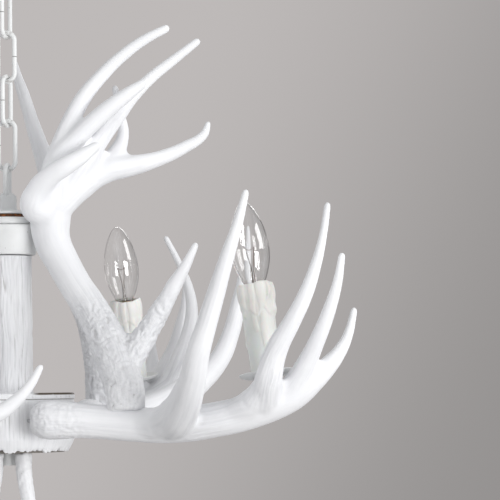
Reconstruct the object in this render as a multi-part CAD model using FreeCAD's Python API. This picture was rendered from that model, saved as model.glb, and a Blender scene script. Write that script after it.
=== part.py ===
import os

import FreeCAD
import Part
from FreeCAD import Matrix, Vector

# Antler chandelier: four lower antlers set as a pinwheel round a hub carry four candle lamps,
# four upper antlers stand on them and lean in to a collar at the top of the column, and the whole
# lamp hangs on a six-link chain from a ceiling canopy.
# Millimetres, +Z up. The origin is on the ceiling, on the axis of the lamp.

# ---- driving dimensions -------------------------------------------------------------------------
PAN_DROP = 510.0          # from the ceiling down to the level that the lamp's heights start from
QUARTER = 90.0            # degrees between neighbouring antlers

WIRE = 4.3                # chain wire
LINK_LENGTH = 50.0        # a link, outside
LINK_WIDTH = 20.0
LINK_COUNT = 6
LINK_GAP = 0.3            # play between the wires of neighbouring links
LINK_TURNS = (-15.0, 62.0)  # which way odd and even links face, degrees about the chain

CANOPY_R = 60.0
CANOPY_DEPTH = 27.0
SHEET = 1.2               # pressed steel
BRACKET = (96.0, 20.0, 2.5)
SCREW_SPACING = 70.0      # ceiling screws, centre to centre
SCREW_HOLE_R = 2.25

NIPPLE_R = 5.0            # hollow threaded rods
NIPPLE_BORE = 3.4
FIT = 0.05                # play of a rod in its hole

HUB_R = 60.0
HUB_BOTTOM, HUB_TOP = -57.0, -9.0
HUB_WALL = 9.0
HUB_BEVEL = 12.0          # height of the drawn-in lower edge
COVER_TOP = -3.0
COLUMN_R = 22.5
COLUMN_TOP = 124.0
COLLAR_TOP = 151.5
COLLAR_R = (26.0, 29.0)
COLLAR_WALL = 3.5
TUBE_R = 6.5
CAP_R = 24.0
NECK_TOP = COLLAR_TOP + 28.5
LOOP_TOP = 208.0          # middle of the wire at the top of the hanging loop
LOOP_LENGTH, LOOP_WIDTH = 36.0, 20.0
LOOP_TURN, CANOPY_LOOP_TURN = 76.0, -15.0  # degrees about the chain

CANDLE_AT = (226.0, -127.0, 8.0)  # underside of a drip pan, for the first candle
CANDLE_LEAN = 9.0         # degrees, square to the rising beam
CANDLE_TURN = -43.0       # degrees, opposite to the way that the first candle leans
SEAT_R, SEAT_DEPTH = 13.0, 34.0
PAN_R = 25.0
SLEEVE_R, SLEEVE_BORE = 14.5, 13.1
SLEEVE_FOOT, SLEEVE_TOP = 2.0, 84.0
HOLDER_R = 12.6
HOLDER_BORE = 7.1
HOLDER_TOP = 80.0
CAP_FOOT = 56.0           # lower end of the brass cap of a bulb
BULB_CAP_R = 6.8
BULB_R = 17.5
BULB_TOP = 158.0
GLASS = 0.8
BULB_OUTLINE = [(7.4, 82), (8.6, 83.2), (11.2, 87.5), (14, 94.5), (16.4, 103), (BULB_R, 113), (17, 123),
                (15.4, 132), (12.9, 140.5), (9.8, 147.8), (6.3, 153.6), (3.1, 156.9)]

# ---- antlers ------------------------------------------------------------------------------------
# A tine is a list of (x, y, z, radius) along its middle line. Heights are from the pan level, and
# the places are those of the first antler of each kind.
LOWER_BEAM = [(17, -73, -27, 12), (20, -73, -27, 16.5), (28, -73.5, -27, 18), (64, -79, -28, 16),
              (100, -88, -31, 15.5),
              (140, -103, -33, 16), (181, -122, -28, 16), (215, -134, -20, 15.5), (245, -143, -8, 14),
              (264, -148, 6, 11), (277, -150, 18, 8.6), (287, -150, 30, 6.4), (294, -150, 43, 4.8), (300, -150, 65, 3.3)]
LOWER_TINES = [
    [(140, -103, -33, 15), (146, -133, -27, 15), (151, -163, -13, 13.6), (155, -190, 7, 12),
     (158, -209, 28, 10.4), (165, -221, 53, 9), (173, -229, 80, 8), (181, -236, 107, 6.6), (190, -241, 135, 4.8),
     (197, -244, 161, 3.3)],
    [(222, -139, -16, 14), (222, -163, 4, 12.5), (228, -175, 30, 10), (240, -184, 53, 8.2),
     (252, -189, 77, 6.8), (262, -187, 103, 5.3), (270, -178, 129, 3.9), (276, -165, 156, 3.3)],
    [(240, -145, -8, 11), (255, -158, 17, 9), (265, -170, 40, 7.3), (274, -178, 64, 6.2),
     (281, -184, 88, 4.6), (285, -186, 111, 3.3)],
]
BROW_TINE = [(150, -105, -32, 11), (150, -60, -31, 9.5), (150, -10, -20, 7.6), (150, 5, -10, 6),
             (150, 18, 4, 4.6), (150, 27, 19, 3.3)]
UPPER_BEAM = [(103, -93, -23, 16.5), (102, -89, 0, 18), (98, -81, 15, 18), (92, -75, 33, 18),
              (84, -66, 53, 16.5), (73, -54, 74, 15.6), (61, -43, 94, 15), (50, -33, 115, 15.4),
              (40.5, -25.5, 136, 17), (39, -24.5, 156, 19), (43, -27, 180, 14)]
UPPER_BROW = [(100, -82, 12, 12), (113, -79, 35, 12.5), (125, -81, 52, 10.2), (136, -86, 71, 8.9),
              (146, -92, 89, 7.6), (157, -98, 108, 5.2), (166, -100, 126, 3.3)]
SECOND_BEAM = [(103, -91, -20, 17), (102, -91, 0, 18), (98, -91, 15, 18), (92, -89, 33, 18),
               (82, -84, 55, 16.5), (70, -76, 76, 15.6), (57, -65, 96, 15), (43, -53, 116, 15.4),
               (31, -42, 136, 16.5), (29, -35, 156, 17), (38, -36, 180, 14)]
SECOND_BROW = [(100, -90, 12, 12), (112, -88, 33, 12.5), (122, -85, 52, 10.2), (132, -80, 71, 8.9),
               (141, -73, 89, 7.6), (150, -65, 108, 5.2), (157, -57, 126, 3.3)]
FAN_D = [(36, -34, 160, 14), (23, -42, 166, 12), (27, -47, 180, 10.5), (38, -53, 192, 9.6),
         (52, -58, 201, 9), (67, -58, 210, 7.4), (80, -56, 219, 4.8)]
UPPER_FANS = [
    [FAN_D,
     [(38, -32, 165, 14), (42, -31, 200, 11), (47, -30, 217, 9.8), (57, -27, 242, 8.8),
      (70, -23, 267, 7.8), (86, -20, 287, 6.8), (104, -16, 305, 6), (126, -11, 322, 5.2),
      (148, -8, 334, 4.2)],
     [(44, -26, 170, 14), (66, -20, 202, 12), (84, -16, 229, 10), (101, -14, 251, 8),
      (116, -12, 270, 6.6), (134, -10, 288, 5.6), (154, -8, 304, 5), (177, -5, 322, 4)],
     [(38, -32, 172, 15), (47, -34, 210, 10.5), (61, -37, 226, 9.4), (76, -39, 241, 8.6),
      (92, -40, 255, 8), (109, -39, 268, 6.8), (123, -37, 278, 4.8)],
     [(42, -28, 164, 15), (66, -15, 188, 15), (88, -6, 201, 12.5), (115, 2, 207, 10),
      (141, 8, 214, 7.4), (166, 10, 225, 6), (184, 10, 237, 4.6), (188, 10, 247, 3)],
     [(84, -6, 198, 12), (101, 3, 219, 8.2), (108, 6, 237, 5.6), (105, 7, 258, 4.4),
      (101, 6, 280, 3.3)]],
    [FAN_D,
     [(38, -36, 165, 14), (42, -40, 200, 10), (47, -36, 217, 8), (57, -29, 240, 7.2),
      (70, -23, 262, 6), (86, -18, 284, 4.6), (104, -12, 304, 3.8), (122, -8, 320, 3.3)],
     [(44, -38, 170, 14), (66, -40, 200, 10.5), (84, -34, 220, 7.4), (101, -27, 243, 6),
      (116, -22, 262, 5.2), (134, -17, 281, 4.2), (154, -12, 300, 3.6), (170, -9, 314, 3.3)],
     [(38, -34, 172, 15), (47, -42, 208, 10.5), (61, -50, 224, 9.4), (76, -57, 241, 8.6),
      (92, -62, 255, 7.4), (109, -66, 268, 5.6), (127, -69, 280, 3.3)],
     [(42, -34, 162, 15), (66, -42, 184, 14), (88, -50, 198, 12), (115, -56, 206, 10),
      (141, -59, 213, 7.4), (166, -60, 225, 5.8), (184, -60, 238, 4.2), (187, -60, 249, 3)],
     [(84, -48, 196, 11), (100, -52, 217, 8.2), (107, -56, 237, 5.6), (105, -60, 258, 4.4),
      (101, -64, 280, 3.3)]],
]
FINIAL_TINE = [(18, 0, -55, 8), (19, 0, -76, 7.4), (24, 0, -100, 6.6), (32, 0, -124, 5.2), (38, 0, -150, 3.3)]
FINIAL_TURN = -45.0


# ---- shapes -------------------------------------------------------------------------------------
def level(z):
    """A height from the pan level, as a height in the part's own frame."""
    return z - PAN_DROP


def cylinder(radius, low, high, bore=0.0):
    body = Part.makeCylinder(radius, high - low, Vector(0, 0, low))
    if bore:
        body = body.cut(Part.makeCylinder(bore, high - low + 2, Vector(0, 0, low - 1)))
    return body


def turned(profile):
    """A solid of revolution about Z from a closed outline of (radius, height) points."""
    points = [Vector(r, 0, z) for r, z in profile]
    face = Part.Face(Part.makePolygon(points + points[:1]))
    return face.revolve(Vector(0, 0, 0), Vector(0, 0, 1), 360)


def turn(shape, degrees):
    copy = shape.copy()
    copy.rotate(Vector(0, 0, 0), Vector(0, 0, 1), degrees)
    return copy


def bend_normal(middle):
    """The direction that a bent line curves about."""
    steps = [b - a for a, b in zip(middle, middle[1:])]
    normal = (middle[-1] - middle[0]).cross(Vector(0, 0, 1)).normalize() * 0.01
    for a, b in zip(steps, steps[1:]):
        bend = a.cross(b)
        normal += bend if bend.dot(normal) > 0 else -bend
    return normal.normalize()


def ring_at(centre, direction, radius, side):
    """A circle square to direction, whose start point always lies to the same side."""
    z = Vector(direction).normalize()
    y = z.cross(side).normalize()
    x = y.cross(z)
    frame = Matrix(x.x, y.x, z.x, centre.x, x.y, y.y, z.y, centre.y, x.z, y.z, z.z, centre.z, 0, 0, 0, 1)
    circle = Part.makeCircle(radius)
    circle.transformShape(frame)
    return Part.Wire(circle)


def tine(points):
    """One tapering branch through a ring at each point."""
    middle = [Vector(x, y, level(z)) for x, y, z, _ in points]
    radii = [p[3] for p in points]
    side = bend_normal(middle)
    rings = []
    for i, centre in enumerate(middle):
        direction = middle[min(i + 1, len(middle) - 1)] - middle[max(i - 1, 0)]
        rings.append(ring_at(centre, direction, radii[i], side))
    branch = Part.makeLoft(rings, True, True)
    if branch.Volume < 0:
        branch.reverse()
    return branch


def antler(tines):
    solid = tine(tines[0])
    for points in tines[1:]:
        solid = solid.fuse(tine(points))
    return max(solid.Solids, key=lambda s: s.Volume)


def at_candle(shape, number):
    """Stands a shape, made upright at the origin, on the seat of a candle."""
    x, y, z = CANDLE_AT
    copy = shape.copy()
    copy.rotate(Vector(0, 0, 0), Vector(0, 1, 0), -CANDLE_LEAN)
    copy.rotate(Vector(0, 0, 0), Vector(0, 0, 1), CANDLE_TURN)
    copy.translate(Vector(x, y, level(z)))
    return turn(copy, QUARTER * number)


def save(name, shape):
    shape.exportStep("parts/%s.step" % name)
    print("%-18s %9.0f mm3 %2d solid" % (name, shape.Volume, len(shape.Solids)))


# ---- lower antlers, each with the seat for its candle ------------------------------------------
def lower_antlers():
    seat = cylinder(SEAT_R, -SEAT_DEPTH, 0)
    hole = cylinder(NIPPLE_R + FIT, -SEAT_DEPTH / 2, 1)
    drum = cylinder(HUB_R, level(HUB_BOTTOM) - 30, level(HUB_TOP) + 30)
    made = []
    for number in range(4):
        tines = [LOWER_BEAM] + LOWER_TINES + ([BROW_TINE] if number % 2 else [])
        if number < 2:
            solid = antler(tines).fuse(at_candle(seat, 0)).cut(at_candle(hole, 0)).cut(drum)
            solid = solid.cut(hub_screws[0])
            made.append(max(solid.Solids, key=lambda s: s.Volume))
        else:
            made.append(made[number - 2])
    return [turn(solid, QUARTER * number) for number, solid in enumerate(made)]


# ---- upper antlers, which stand on the lower ones and lean on the collar --------------------
def upper_antlers(lower):
    made = []
    for kind in range(2):
        stem = [SECOND_BEAM, SECOND_BROW] if kind else [UPPER_BEAM, UPPER_BROW]
        solid = antler(stem + UPPER_FANS[kind])
        solid = solid.cut([lower[0], top_collar(), top_cap(), turn(collar_screws[kind], -QUARTER * kind)])
        made.append(max(solid.Solids, key=lambda s: s.Volume))
    return [turn(made[number % 2], QUARTER * number) for number in range(4)]


def finial_antlers():
    solid = tine(FINIAL_TINE).cut(cylinder(60, level(HUB_BOTTOM), level(HUB_BOTTOM) + 40))
    solid = max(solid.Solids, key=lambda s: s.Volume)
    return [turn(solid, FINIAL_TURN + QUARTER * number) for number in range(4)]


# ---- column, hub and collar ------------------------------------------------------------------
def hub_drum():
    high, low = level(HUB_TOP), level(HUB_BOTTOM)
    inside = HUB_R - HUB_WALL
    roof = high - HUB_WALL
    return turned([(TUBE_R + FIT, high), (HUB_R, high), (HUB_R, low + HUB_BEVEL), (inside + 3, low),
                   (inside, low), (inside, roof), (TUBE_R + FIT, roof)])


def top_collar():
    """A flared cup, open upwards, that the upper antlers are screwed to from inside."""
    low, high = level(COLUMN_TOP), level(COLLAR_TOP)
    r_low, r_high = COLLAR_R
    bore = TUBE_R + FIT
    return turned([(bore, low), (r_low - 1.5, low), (r_low, low + 1.5), (r_high, high - 4),
                   (r_high - 1, high), (r_high - COLLAR_WALL, high), (r_low - COLLAR_WALL, low + COLLAR_WALL),
                   (bore, low + COLLAR_WALL)])


def top_cap():
    """The turned cap on the collar: a low disc and the neck that the hanging loop screws into."""
    bore = TUBE_R + FIT
    low = level(COLLAR_TOP)
    return turned([(bore, low), (CAP_R, low), (CAP_R + 1, low + 3), (CAP_R, low + 7), (bore, low + 7)])


def cap_neck():
    low = level(COLLAR_TOP) + 10
    return turned([(TUBE_R + FIT, low), (CAP_R - 1, low), (CAP_R - 1, low + 2.5), (9.5, low + 4),
                   (8.5, low + 6), (8.5, low + 17), (7.8, low + 18.5), (TUBE_R + FIT, low + 18.5)])


# ---- chain --------------------------------------------------------------------------------------
def oval_ring(length, width, wire):
    """A closed oval of round wire in the XZ plane, middle at the origin."""
    r = (width - wire) / 2
    half = (length - wire) / 2 - r
    arcs = [Part.Arc(Vector(-r, 0, half), Vector(0, 0, half + r), Vector(r, 0, half)),
            Part.Arc(Vector(r, 0, -half), Vector(0, 0, -half - r), Vector(-r, 0, -half))]
    sides = [Part.LineSegment(Vector(r, 0, half), Vector(r, 0, -half)),
             Part.LineSegment(Vector(-r, 0, -half), Vector(-r, 0, half))]
    path = Part.Wire([arcs[0].toShape(), sides[0].toShape(), arcs[1].toShape(), sides[1].toShape()])
    section = Part.Wire(Part.makeCircle(wire / 2, Vector(-r, 0, half), Vector(0, 0, 1)))
    return path.makePipeShell([section], True, False)


def link_bottom(number):
    """Height of the middle of the wire at the foot of a link; number 1 is the top one."""
    foot = level(LOOP_TOP) - WIRE - LINK_GAP
    pitch = LINK_LENGTH - 2 * WIRE - LINK_GAP
    return foot + pitch * (LINK_COUNT - number)


def chain_link(number):
    ring = oval_ring(LINK_LENGTH, LINK_WIDTH, WIRE)
    ring.translate(Vector(0, 0, link_bottom(number) + (LINK_LENGTH - WIRE) / 2))
    return turn(ring, LINK_TURNS[number % 2])


def top_loop():
    """Cast eye: an oval ring with a foot that fills the neck of the cap."""
    ring = oval_ring(LOOP_LENGTH, LOOP_WIDTH, WIRE)
    ring.translate(Vector(0, 0, level(LOOP_TOP) - (LOOP_LENGTH - WIRE) / 2))
    ring = ring.cut(cylinder(LOOP_WIDTH, level(COLLAR_TOP), level(NECK_TOP)))
    return turn(ring.fuse(cylinder(TUBE_R, level(NECK_TOP) - 7, level(NECK_TOP) + 1)), LOOP_TURN)


def canopy_loop():
    """Screw collar under the canopy, with the eye that the first link hangs in."""
    eye_foot = link_bottom(1) + LINK_LENGTH - 2 * WIRE - LINK_GAP
    ring = oval_ring(LOOP_LENGTH, LOOP_WIDTH, WIRE)
    ring.translate(Vector(0, 0, eye_foot + (LOOP_LENGTH - WIRE) / 2))
    collar_top = -CANOPY_DEPTH
    collar = turned([(NIPPLE_R + FIT, collar_top), (11, collar_top), (12, collar_top - 2),
                     (12, collar_top - 8), (9, collar_top - 11), (0, collar_top - 11),
                     (0, collar_top - 9), (NIPPLE_R + FIT, collar_top - 9)])
    ring = ring.cut(cylinder(14, collar_top - 9, 0))
    return turn(collar.fuse(ring), CANOPY_LOOP_TURN)


# ---- ceiling fittings -------------------------------------------------------------------------
def canopy():
    r, d = CANOPY_R, CANOPY_DEPTH
    outer = [(r, 0), (r, -2), (0.93 * r, -0.22 * d), (0.78 * r, -0.5 * d), (0.52 * r, -0.8 * d),
             (0.3 * r, -d), (NIPPLE_R + FIT, -d)]
    inner = [(NIPPLE_R + FIT, SHEET - d), (0.28 * r, SHEET - d), (0.51 * r, SHEET - 0.8 * d),
             (0.76 * r, SHEET - 0.5 * d), (0.9 * r, SHEET - 0.22 * d), (r - 1.6, 0)]
    return turned(outer + inner)


def ceiling_bracket():
    length, width, thick = BRACKET
    bar = Part.makeBox(length, width, thick, Vector(-length / 2, -width / 2, -thick))
    bar = bar.cut(cylinder(NIPPLE_R + FIT, -thick - 1, 1))
    for side in (-1, 1):
        hole = cylinder(SCREW_HOLE_R, -thick - 1, 1)
        hole.translate(Vector(side * SCREW_SPACING / 2, 0, 0))
        bar = bar.cut(hole)
    return bar


# ---- one candle, upright at the origin, its drip pan's underside at z = 0 ------------------------
def drip_pan():
    r = PAN_R
    return turned([(NIPPLE_R + FIT, 0), (r * 0.72, 0), (r * 0.9, 1.3), (r, 4), (r - 0.9, 4.6),
                   (r * 0.86, 2.4), (r * 0.7, SHEET), (NIPPLE_R + FIT, SHEET)])


def lamp_holder():
    foot = SHEET
    return turned([(NIPPLE_R + FIT, foot), (HOLDER_R, foot), (HOLDER_R, HOLDER_TOP),
                   (HOLDER_BORE, HOLDER_TOP), (HOLDER_BORE, CAP_FOOT - 2), (4, CAP_FOOT - 2), (4, 14), (NIPPLE_R + FIT, 14)])


def candle_sleeve():
    return cylinder(SLEEVE_R, SLEEVE_FOOT, SLEEVE_TOP, SLEEVE_BORE)


def bulb_solid(inset, top):
    """The candle-shaped envelope, drawn in by inset all round."""
    points = [Vector(r - inset, 0, z) for r, z in BULB_OUTLINE]
    points.append(Vector(0, 0, top - inset))
    curve = Part.BSplineCurve()
    curve.interpolate(points)
    foot, tip = points[0], points[-1]
    edges = [curve.toShape(), Part.makeLine(tip, Vector(0, 0, foot.z)),
             Part.makeLine(Vector(0, 0, foot.z), foot)]
    return Part.Face(Part.Wire(edges)).revolve(Vector(0, 0, 0), Vector(0, 0, 1), 360)


def bulb_glass():
    outer = bulb_solid(0, BULB_TOP)
    return outer.cut(bulb_solid(GLASS, BULB_TOP))


def bulb_cap():
    """Brass screw shell under the glass, closed at the foot by its contact."""
    foot, top = CAP_FOOT, BULB_OUTLINE[0][1] - 0.1
    return turned([(0, foot), (3, foot), (4.5, foot + 1.5), (6, foot + 3), (BULB_CAP_R, foot + 4),
                   (BULB_CAP_R, top), (6.2, top), (6.2, foot + 6), (0, foot + 6)])


def bulb_filament():
    """Glass stem with the two upright wires that the filament is strung on."""
    foot = CAP_FOOT + 10
    stem = turned([(0, foot), (4.5, foot), (4, foot + 10), (2.6, foot + 18), (2.2, foot + 30),
                   (1.2, foot + 33), (0, foot + 33)])
    wires = []
    for side in (-1, 1):
        low, high = Vector(side * 0.8, 0, foot + 32), Vector(side * 5, 0, foot + 50)
        wires.append(Part.makeCylinder(0.35, (high - low).Length, low, high - low))
    wires.append(Part.makeCylinder(0.35, 10, Vector(-5, 0, foot + 50), Vector(1, 0, 0)))
    return stem.fuse(wires)


def candle_nipple():
    return cylinder(NIPPLE_R, 1 - SEAT_DEPTH / 2, 13, NIPPLE_BORE)


# ---- fasteners -----------------------------------------------------------------------------------
def pan_head_screw(length, radius=1.9):
    """A screw along +X with its head at the origin's far side."""
    head = turned([(0, 0), (2 * radius, 0), (1.8 * radius, 1.4), (0.9 * radius, 2.2), (0, 2.2)])
    shank = cylinder(radius, -length, 0)
    screw = head.fuse(shank)
    screw.rotate(Vector(0, 0, 0), Vector(0, 1, 0), 90)
    return screw


def radial_screws(length, start, height, towards):
    """Four screws that point outwards from the axis, a quarter turn apart."""
    screws = []
    for number in range(4):
        screw = pan_head_screw(length)
        screw.rotate(Vector(0, 0, 0), Vector(0, 0, 1), 180)
        screw.translate(Vector(start, 0, level(height)))
        screws.append(turn(screw, towards[number % 2] + QUARTER * number))
    return screws


def group(shapes):
    return Part.makeCompound(shapes)


# ---- the object -----------------------------------------------------------------------------------
os.makedirs("parts", exist_ok=True)

# From inside the drum into the antlers' roots, and from inside the collar's cup into their palms.
hub_screws = radial_screws(24, HUB_R - HUB_WALL, -28, (-72.5, -72.5))
collar_screws = radial_screws(14, COLLAR_R[1] - COLLAR_WALL - 0.6, 143, (-32, -52))
save("hub_screws", group(hub_screws))
save("collar_screws", group(collar_screws))

collar = top_collar().cut(group(collar_screws))
lower = lower_antlers()
upper = upper_antlers(lower)
for number in range(4):
    save("lower_antler_%d" % (number + 1), lower[number])
    save("upper_antler_%d" % (number + 1), upper[number])
for number, solid in enumerate(finial_antlers()):
    save("finial_antler_%d" % (number + 1), solid)

for name, make in (("drip_pan", drip_pan), ("candle_sleeve", candle_sleeve), ("lamp_holder", lamp_holder),
                   ("bulb_glass", bulb_glass), ("bulb_cap", bulb_cap), ("bulb_filament", bulb_filament)):
    shape = make()
    for number in range(4):
        save("%s_%d" % (name, number + 1), at_candle(shape, number))
nipple = candle_nipple()
save("candle_nipples", group([at_candle(nipple, number) for number in range(4)]))

save("hub_drum", hub_drum().cut(group(hub_screws)))
save("hub_cover", cylinder(HUB_R + 0.5, level(HUB_TOP), level(COVER_TOP), TUBE_R + FIT))
save("hub_base", cylinder(HUB_R - HUB_WALL - 0.1, level(HUB_BOTTOM), level(HUB_BOTTOM) + 4, TUBE_R + FIT))
save("column_sleeve", cylinder(COLUMN_R, level(COVER_TOP), level(COLUMN_TOP), TUBE_R + FIT))
save("top_collar", collar)
save("top_cap", top_cap())
save("bronze_ring", cylinder(CAP_R - 3, level(COLLAR_TOP) + 7, level(COLLAR_TOP) + 10, TUBE_R + FIT))
save("cap_neck", cap_neck())
save("centre_tube", cylinder(TUBE_R, level(HUB_BOTTOM) - 12, level(COLLAR_TOP) + 21, TUBE_R - 1.6))
save("top_loop", top_loop())

for number in range(1, LINK_COUNT + 1):
    save("chain_link_%d" % number, chain_link(number))
save("canopy_loop", canopy_loop())
save("canopy", canopy())
save("ceiling_bracket", ceiling_bracket())
save("canopy_nipple", cylinder(NIPPLE_R, -CANOPY_DEPTH - 8, -0.2, NIPPLE_BORE))
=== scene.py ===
import math

import bpy
import numpy as np
from mathutils import Matrix, Vector, kdtree, noise


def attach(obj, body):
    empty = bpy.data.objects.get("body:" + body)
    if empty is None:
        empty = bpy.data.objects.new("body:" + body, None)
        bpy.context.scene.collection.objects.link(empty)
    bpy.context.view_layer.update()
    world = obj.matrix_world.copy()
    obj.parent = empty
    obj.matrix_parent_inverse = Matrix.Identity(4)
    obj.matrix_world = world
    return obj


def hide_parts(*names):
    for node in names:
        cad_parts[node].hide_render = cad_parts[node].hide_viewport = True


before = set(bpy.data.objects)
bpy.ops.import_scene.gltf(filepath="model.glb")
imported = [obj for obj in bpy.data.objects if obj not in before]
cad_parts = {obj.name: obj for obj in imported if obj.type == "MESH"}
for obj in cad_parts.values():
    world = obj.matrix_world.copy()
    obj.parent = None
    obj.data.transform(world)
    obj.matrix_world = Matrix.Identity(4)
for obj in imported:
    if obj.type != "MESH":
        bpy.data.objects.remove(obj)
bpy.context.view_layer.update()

# ---- camera -------------------------------------------------------------------------------------
# The lamp is seen at eye level with its drip pans, from 2.2 m, through a long lens that holds only
# the right half of it. The axis of the lamp stands at the left edge of the picture.
PAN_LEVEL = -0.510
VIEW_DISTANCE = 2.2
SENSOR = 36.0
LENS = 170.9
TURN_RIGHT = math.radians(5.836)
TILT_UP = math.radians(3.295)
ROLL = math.radians(0.8)

forward = Vector((math.sin(TURN_RIGHT) * math.cos(TILT_UP), math.cos(TURN_RIGHT) * math.cos(TILT_UP),
                  math.sin(TILT_UP)))
level_right = forward.cross(Vector((0, 0, 1))).normalized()
level_up = level_right.cross(forward)
right = level_right * math.cos(ROLL) - level_up * math.sin(ROLL)
up = level_up * math.cos(ROLL) + level_right * math.sin(ROLL)

camera_data = bpy.data.cameras.new("camera")
camera_data.lens = LENS
camera_data.sensor_width = SENSOR
camera_data.clip_end = 30
camera = bpy.data.objects.new("camera", camera_data)
bpy.context.scene.collection.objects.link(camera)
camera.matrix_world = Matrix.Translation((0, -VIEW_DISTANCE, PAN_LEVEL)) @ Matrix(
    (right, up, -forward)).transposed().to_4x4()
bpy.context.scene.camera = camera
bpy.context.scene.view_settings.view_transform = "Standard"


# ---- room -----------------------------------------------------------------------------------------
# A pale floor far below and a warm grey backdrop that only the camera, glass and gloss see; painted shade
# darkens the backdrop towards the lower right. The light is an even sky and four soft lamps, of which the
# one in front to the right is the strongest.
# Colours in this file are linear, and shader maths is written as expressions on Wire objects.

class Wire:
    """A shader socket with the usual operators; each operator adds a Math node."""

    def __init__(self, tree, socket):
        self.tree = tree
        self.socket = socket

    def math(self, operation, *others):
        return self.tree.node("ShaderNodeMath", {"operation": operation},
                              dict(enumerate((self,) + others)))

    def __add__(self, other):
        return self.math("ADD", other)

    __radd__ = __add__

    def __mul__(self, other):
        return self.math("MULTIPLY", other)

    __rmul__ = __mul__

    def __sub__(self, other):
        return self.math("SUBTRACT", other)

    def __rsub__(self, other):
        return self.tree.node("ShaderNodeMath", {"operation": "SUBTRACT"}, {0: other, 1: self})

    def between(self, low, high):
        """0 below low, 1 above high, smooth in between."""
        return self.tree.node("ShaderNodeMapRange", {"interpolation_type": "SMOOTHSTEP"},
                              {"Value": self, "From Min": low, "From Max": high})

    def clamped(self):
        return self.tree.node("ShaderNodeClamp", {}, {"Value": self})


class Tree:
    """The node tree of one material or of the world."""

    def __init__(self, owner):
        owner.use_nodes = True
        self.nodes = owner.node_tree.nodes
        self.links = owner.node_tree.links
        self.nodes.clear()

    def node(self, kind, settings=None, values=None, out=0):
        made = self.nodes.new(kind)
        for name, value in (settings or {}).items():
            setattr(made, name, value)
        for name, value in (values or {}).items():
            if isinstance(value, Wire):
                self.links.new(value.socket, made.inputs[name])
            else:
                made.inputs[name].default_value = value
        return Wire(self, made.outputs[out]) if made.outputs else None

    def place(self, scale=(1, 1, 1)):
        coordinates = self.node("ShaderNodeTexCoord", out="Object")
        return self.node("ShaderNodeMapping", {}, {"Vector": coordinates, "Scale": scale})

    def noise(self, vector, scale, detail=4.0, rough=0.5, distort=0.0):
        return self.node("ShaderNodeTexNoise", {}, {"Vector": vector, "Scale": scale, "Detail": detail,
                                                    "Roughness": rough, "Distortion": distort})

    def mix(self, factor, first, second):
        return self.node("ShaderNodeMix", {"data_type": "RGBA"}, {0: factor, 6: first, 7: second}, out=2)

    def bump(self, height, strength, distance):
        return self.node("ShaderNodeBump", {}, {"Height": height, "Strength": strength,
                                                "Distance": distance})


def finish_of(name, values, build=None):
    """A material on one Principled shader; build may add nodes and returns sockets to link."""
    material = bpy.data.materials.new(name)
    tree = Tree(material)
    values = dict(values)
    if build:
        values.update(build(tree))
    shader = tree.node("ShaderNodeBsdfPrincipled", {}, values)
    tree.node("ShaderNodeOutputMaterial", {}, {"Surface": shader})
    return material


def grey(value, tint=(1, 1, 1)):
    return (value * tint[0], value * tint[1], value * tint[2], 1)


# The backdrop's two colours, and the way between them, paint shade on it, darkest towards the lower right.
BACKDROP_LEFT = (0.515, 0.490, 0.484, 1)
BACKDROP_RIGHT = (0.300, 0.288, 0.284, 1)
BACKDROP_ACROSS = (1.0, 0.0, -0.45)  # the way in which the backdrop darkens
BACKDROP_END = 0.24                  # how far along that way it reaches its darkest
SKY = grey(0.56, (0.99, 0.995, 1.0))
FLOOR_COLOUR = grey(0.52, (1, 0.985, 0.975))
FLOOR_LEVEL, FLOOR_SIZE = -1.75, 9

world = bpy.data.worlds.new("studio")
bpy.context.scene.world = world
tree = Tree(world)
ray = tree.node("ShaderNodeTexCoord", out="Generated")
across = tree.node("ShaderNodeVectorMath", {"operation": "DOT_PRODUCT"}, {0: ray, 1: BACKDROP_ACROSS},
                   out="Value")
backdrop = tree.mix(across.between(0.0, BACKDROP_END), BACKDROP_LEFT, BACKDROP_RIGHT)
by_camera, by_gloss, through_glass = (
    tree.node("ShaderNodeLightPath", out=name)
    for name in ("Is Camera Ray", "Is Glossy Ray", "Is Transmission Ray"))
seen = (by_camera + by_gloss + through_glass).clamped()
background = tree.node("ShaderNodeBackground", {}, {"Color": tree.mix(seen, SKY, backdrop), "Strength": 1.0})
tree.node("ShaderNodeOutputWorld", {}, {"Surface": background})


def soft_lamp(name, place, aim, size, power):
    """A square area light that faces what it aims at."""
    data = bpy.data.lights.new(name, "AREA")
    data.shape = "SQUARE"
    data.size = size
    data.energy = power
    lamp = bpy.data.objects.new(name, data)
    bpy.context.scene.collection.objects.link(lamp)
    lamp.location = place
    lamp.rotation_euler = (Vector(aim) - Vector(place)).to_track_quat("-Z", "Y").to_euler()


MIDDLE = (0, 0, PAN_LEVEL + 0.08)  # what the lamps aim at
for name, place, size, power in (  # metres and watts
        ("front_right", (1.43, -2.05, -0.62), 1.1, 32),
        ("front_left", (-1.43, -2.05, -0.50), 0.8, 7.5),
        ("right", (2.3, -0.9, 0.75), 1.3, 16),
        ("back", (0.9, 2.2, 0.9), 1.2, 5)):
    soft_lamp(name, place, MIDDLE, size, power)

bpy.ops.mesh.primitive_plane_add(size=FLOOR_SIZE, location=(0, 0, FLOOR_LEVEL))
floor = bpy.context.active_object
floor.name = "floor"
floor.data.materials.append(finish_of("pale_floor", {"Base Color": FLOOR_COLOUR, "Roughness": 0.9}))

# ---- ceiling canopy ---------------------------------------------------------------------------------
# Pressed steel dish with a rolled rim that hides the ceiling box, enamelled inside and out. The
# slotted bar above it and the rod that holds it up stay as bare zinc-plated steel.
CANOPY_OUTLINE = [
    (60, 0), (60.4, -1.2), (59.6, -2.4), (56, -5.8), (50.5, -10), (42, -15.5), (31.5, -21.6), (24, -25),
    (18, -27), (5.2, -27), (5.2, -25.8), (17.5, -25.8), (23.4, -23.9), (31, -20.5), (41.4, -14.4),
    (49.7, -9), (55, -5), (57.8, -2.2), (58.4, 0)]


def clear_selection():
    if bpy.context.mode != "OBJECT":
        bpy.ops.object.mode_set(mode="OBJECT")
    bpy.ops.object.select_all(action="DESELECT")


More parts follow.
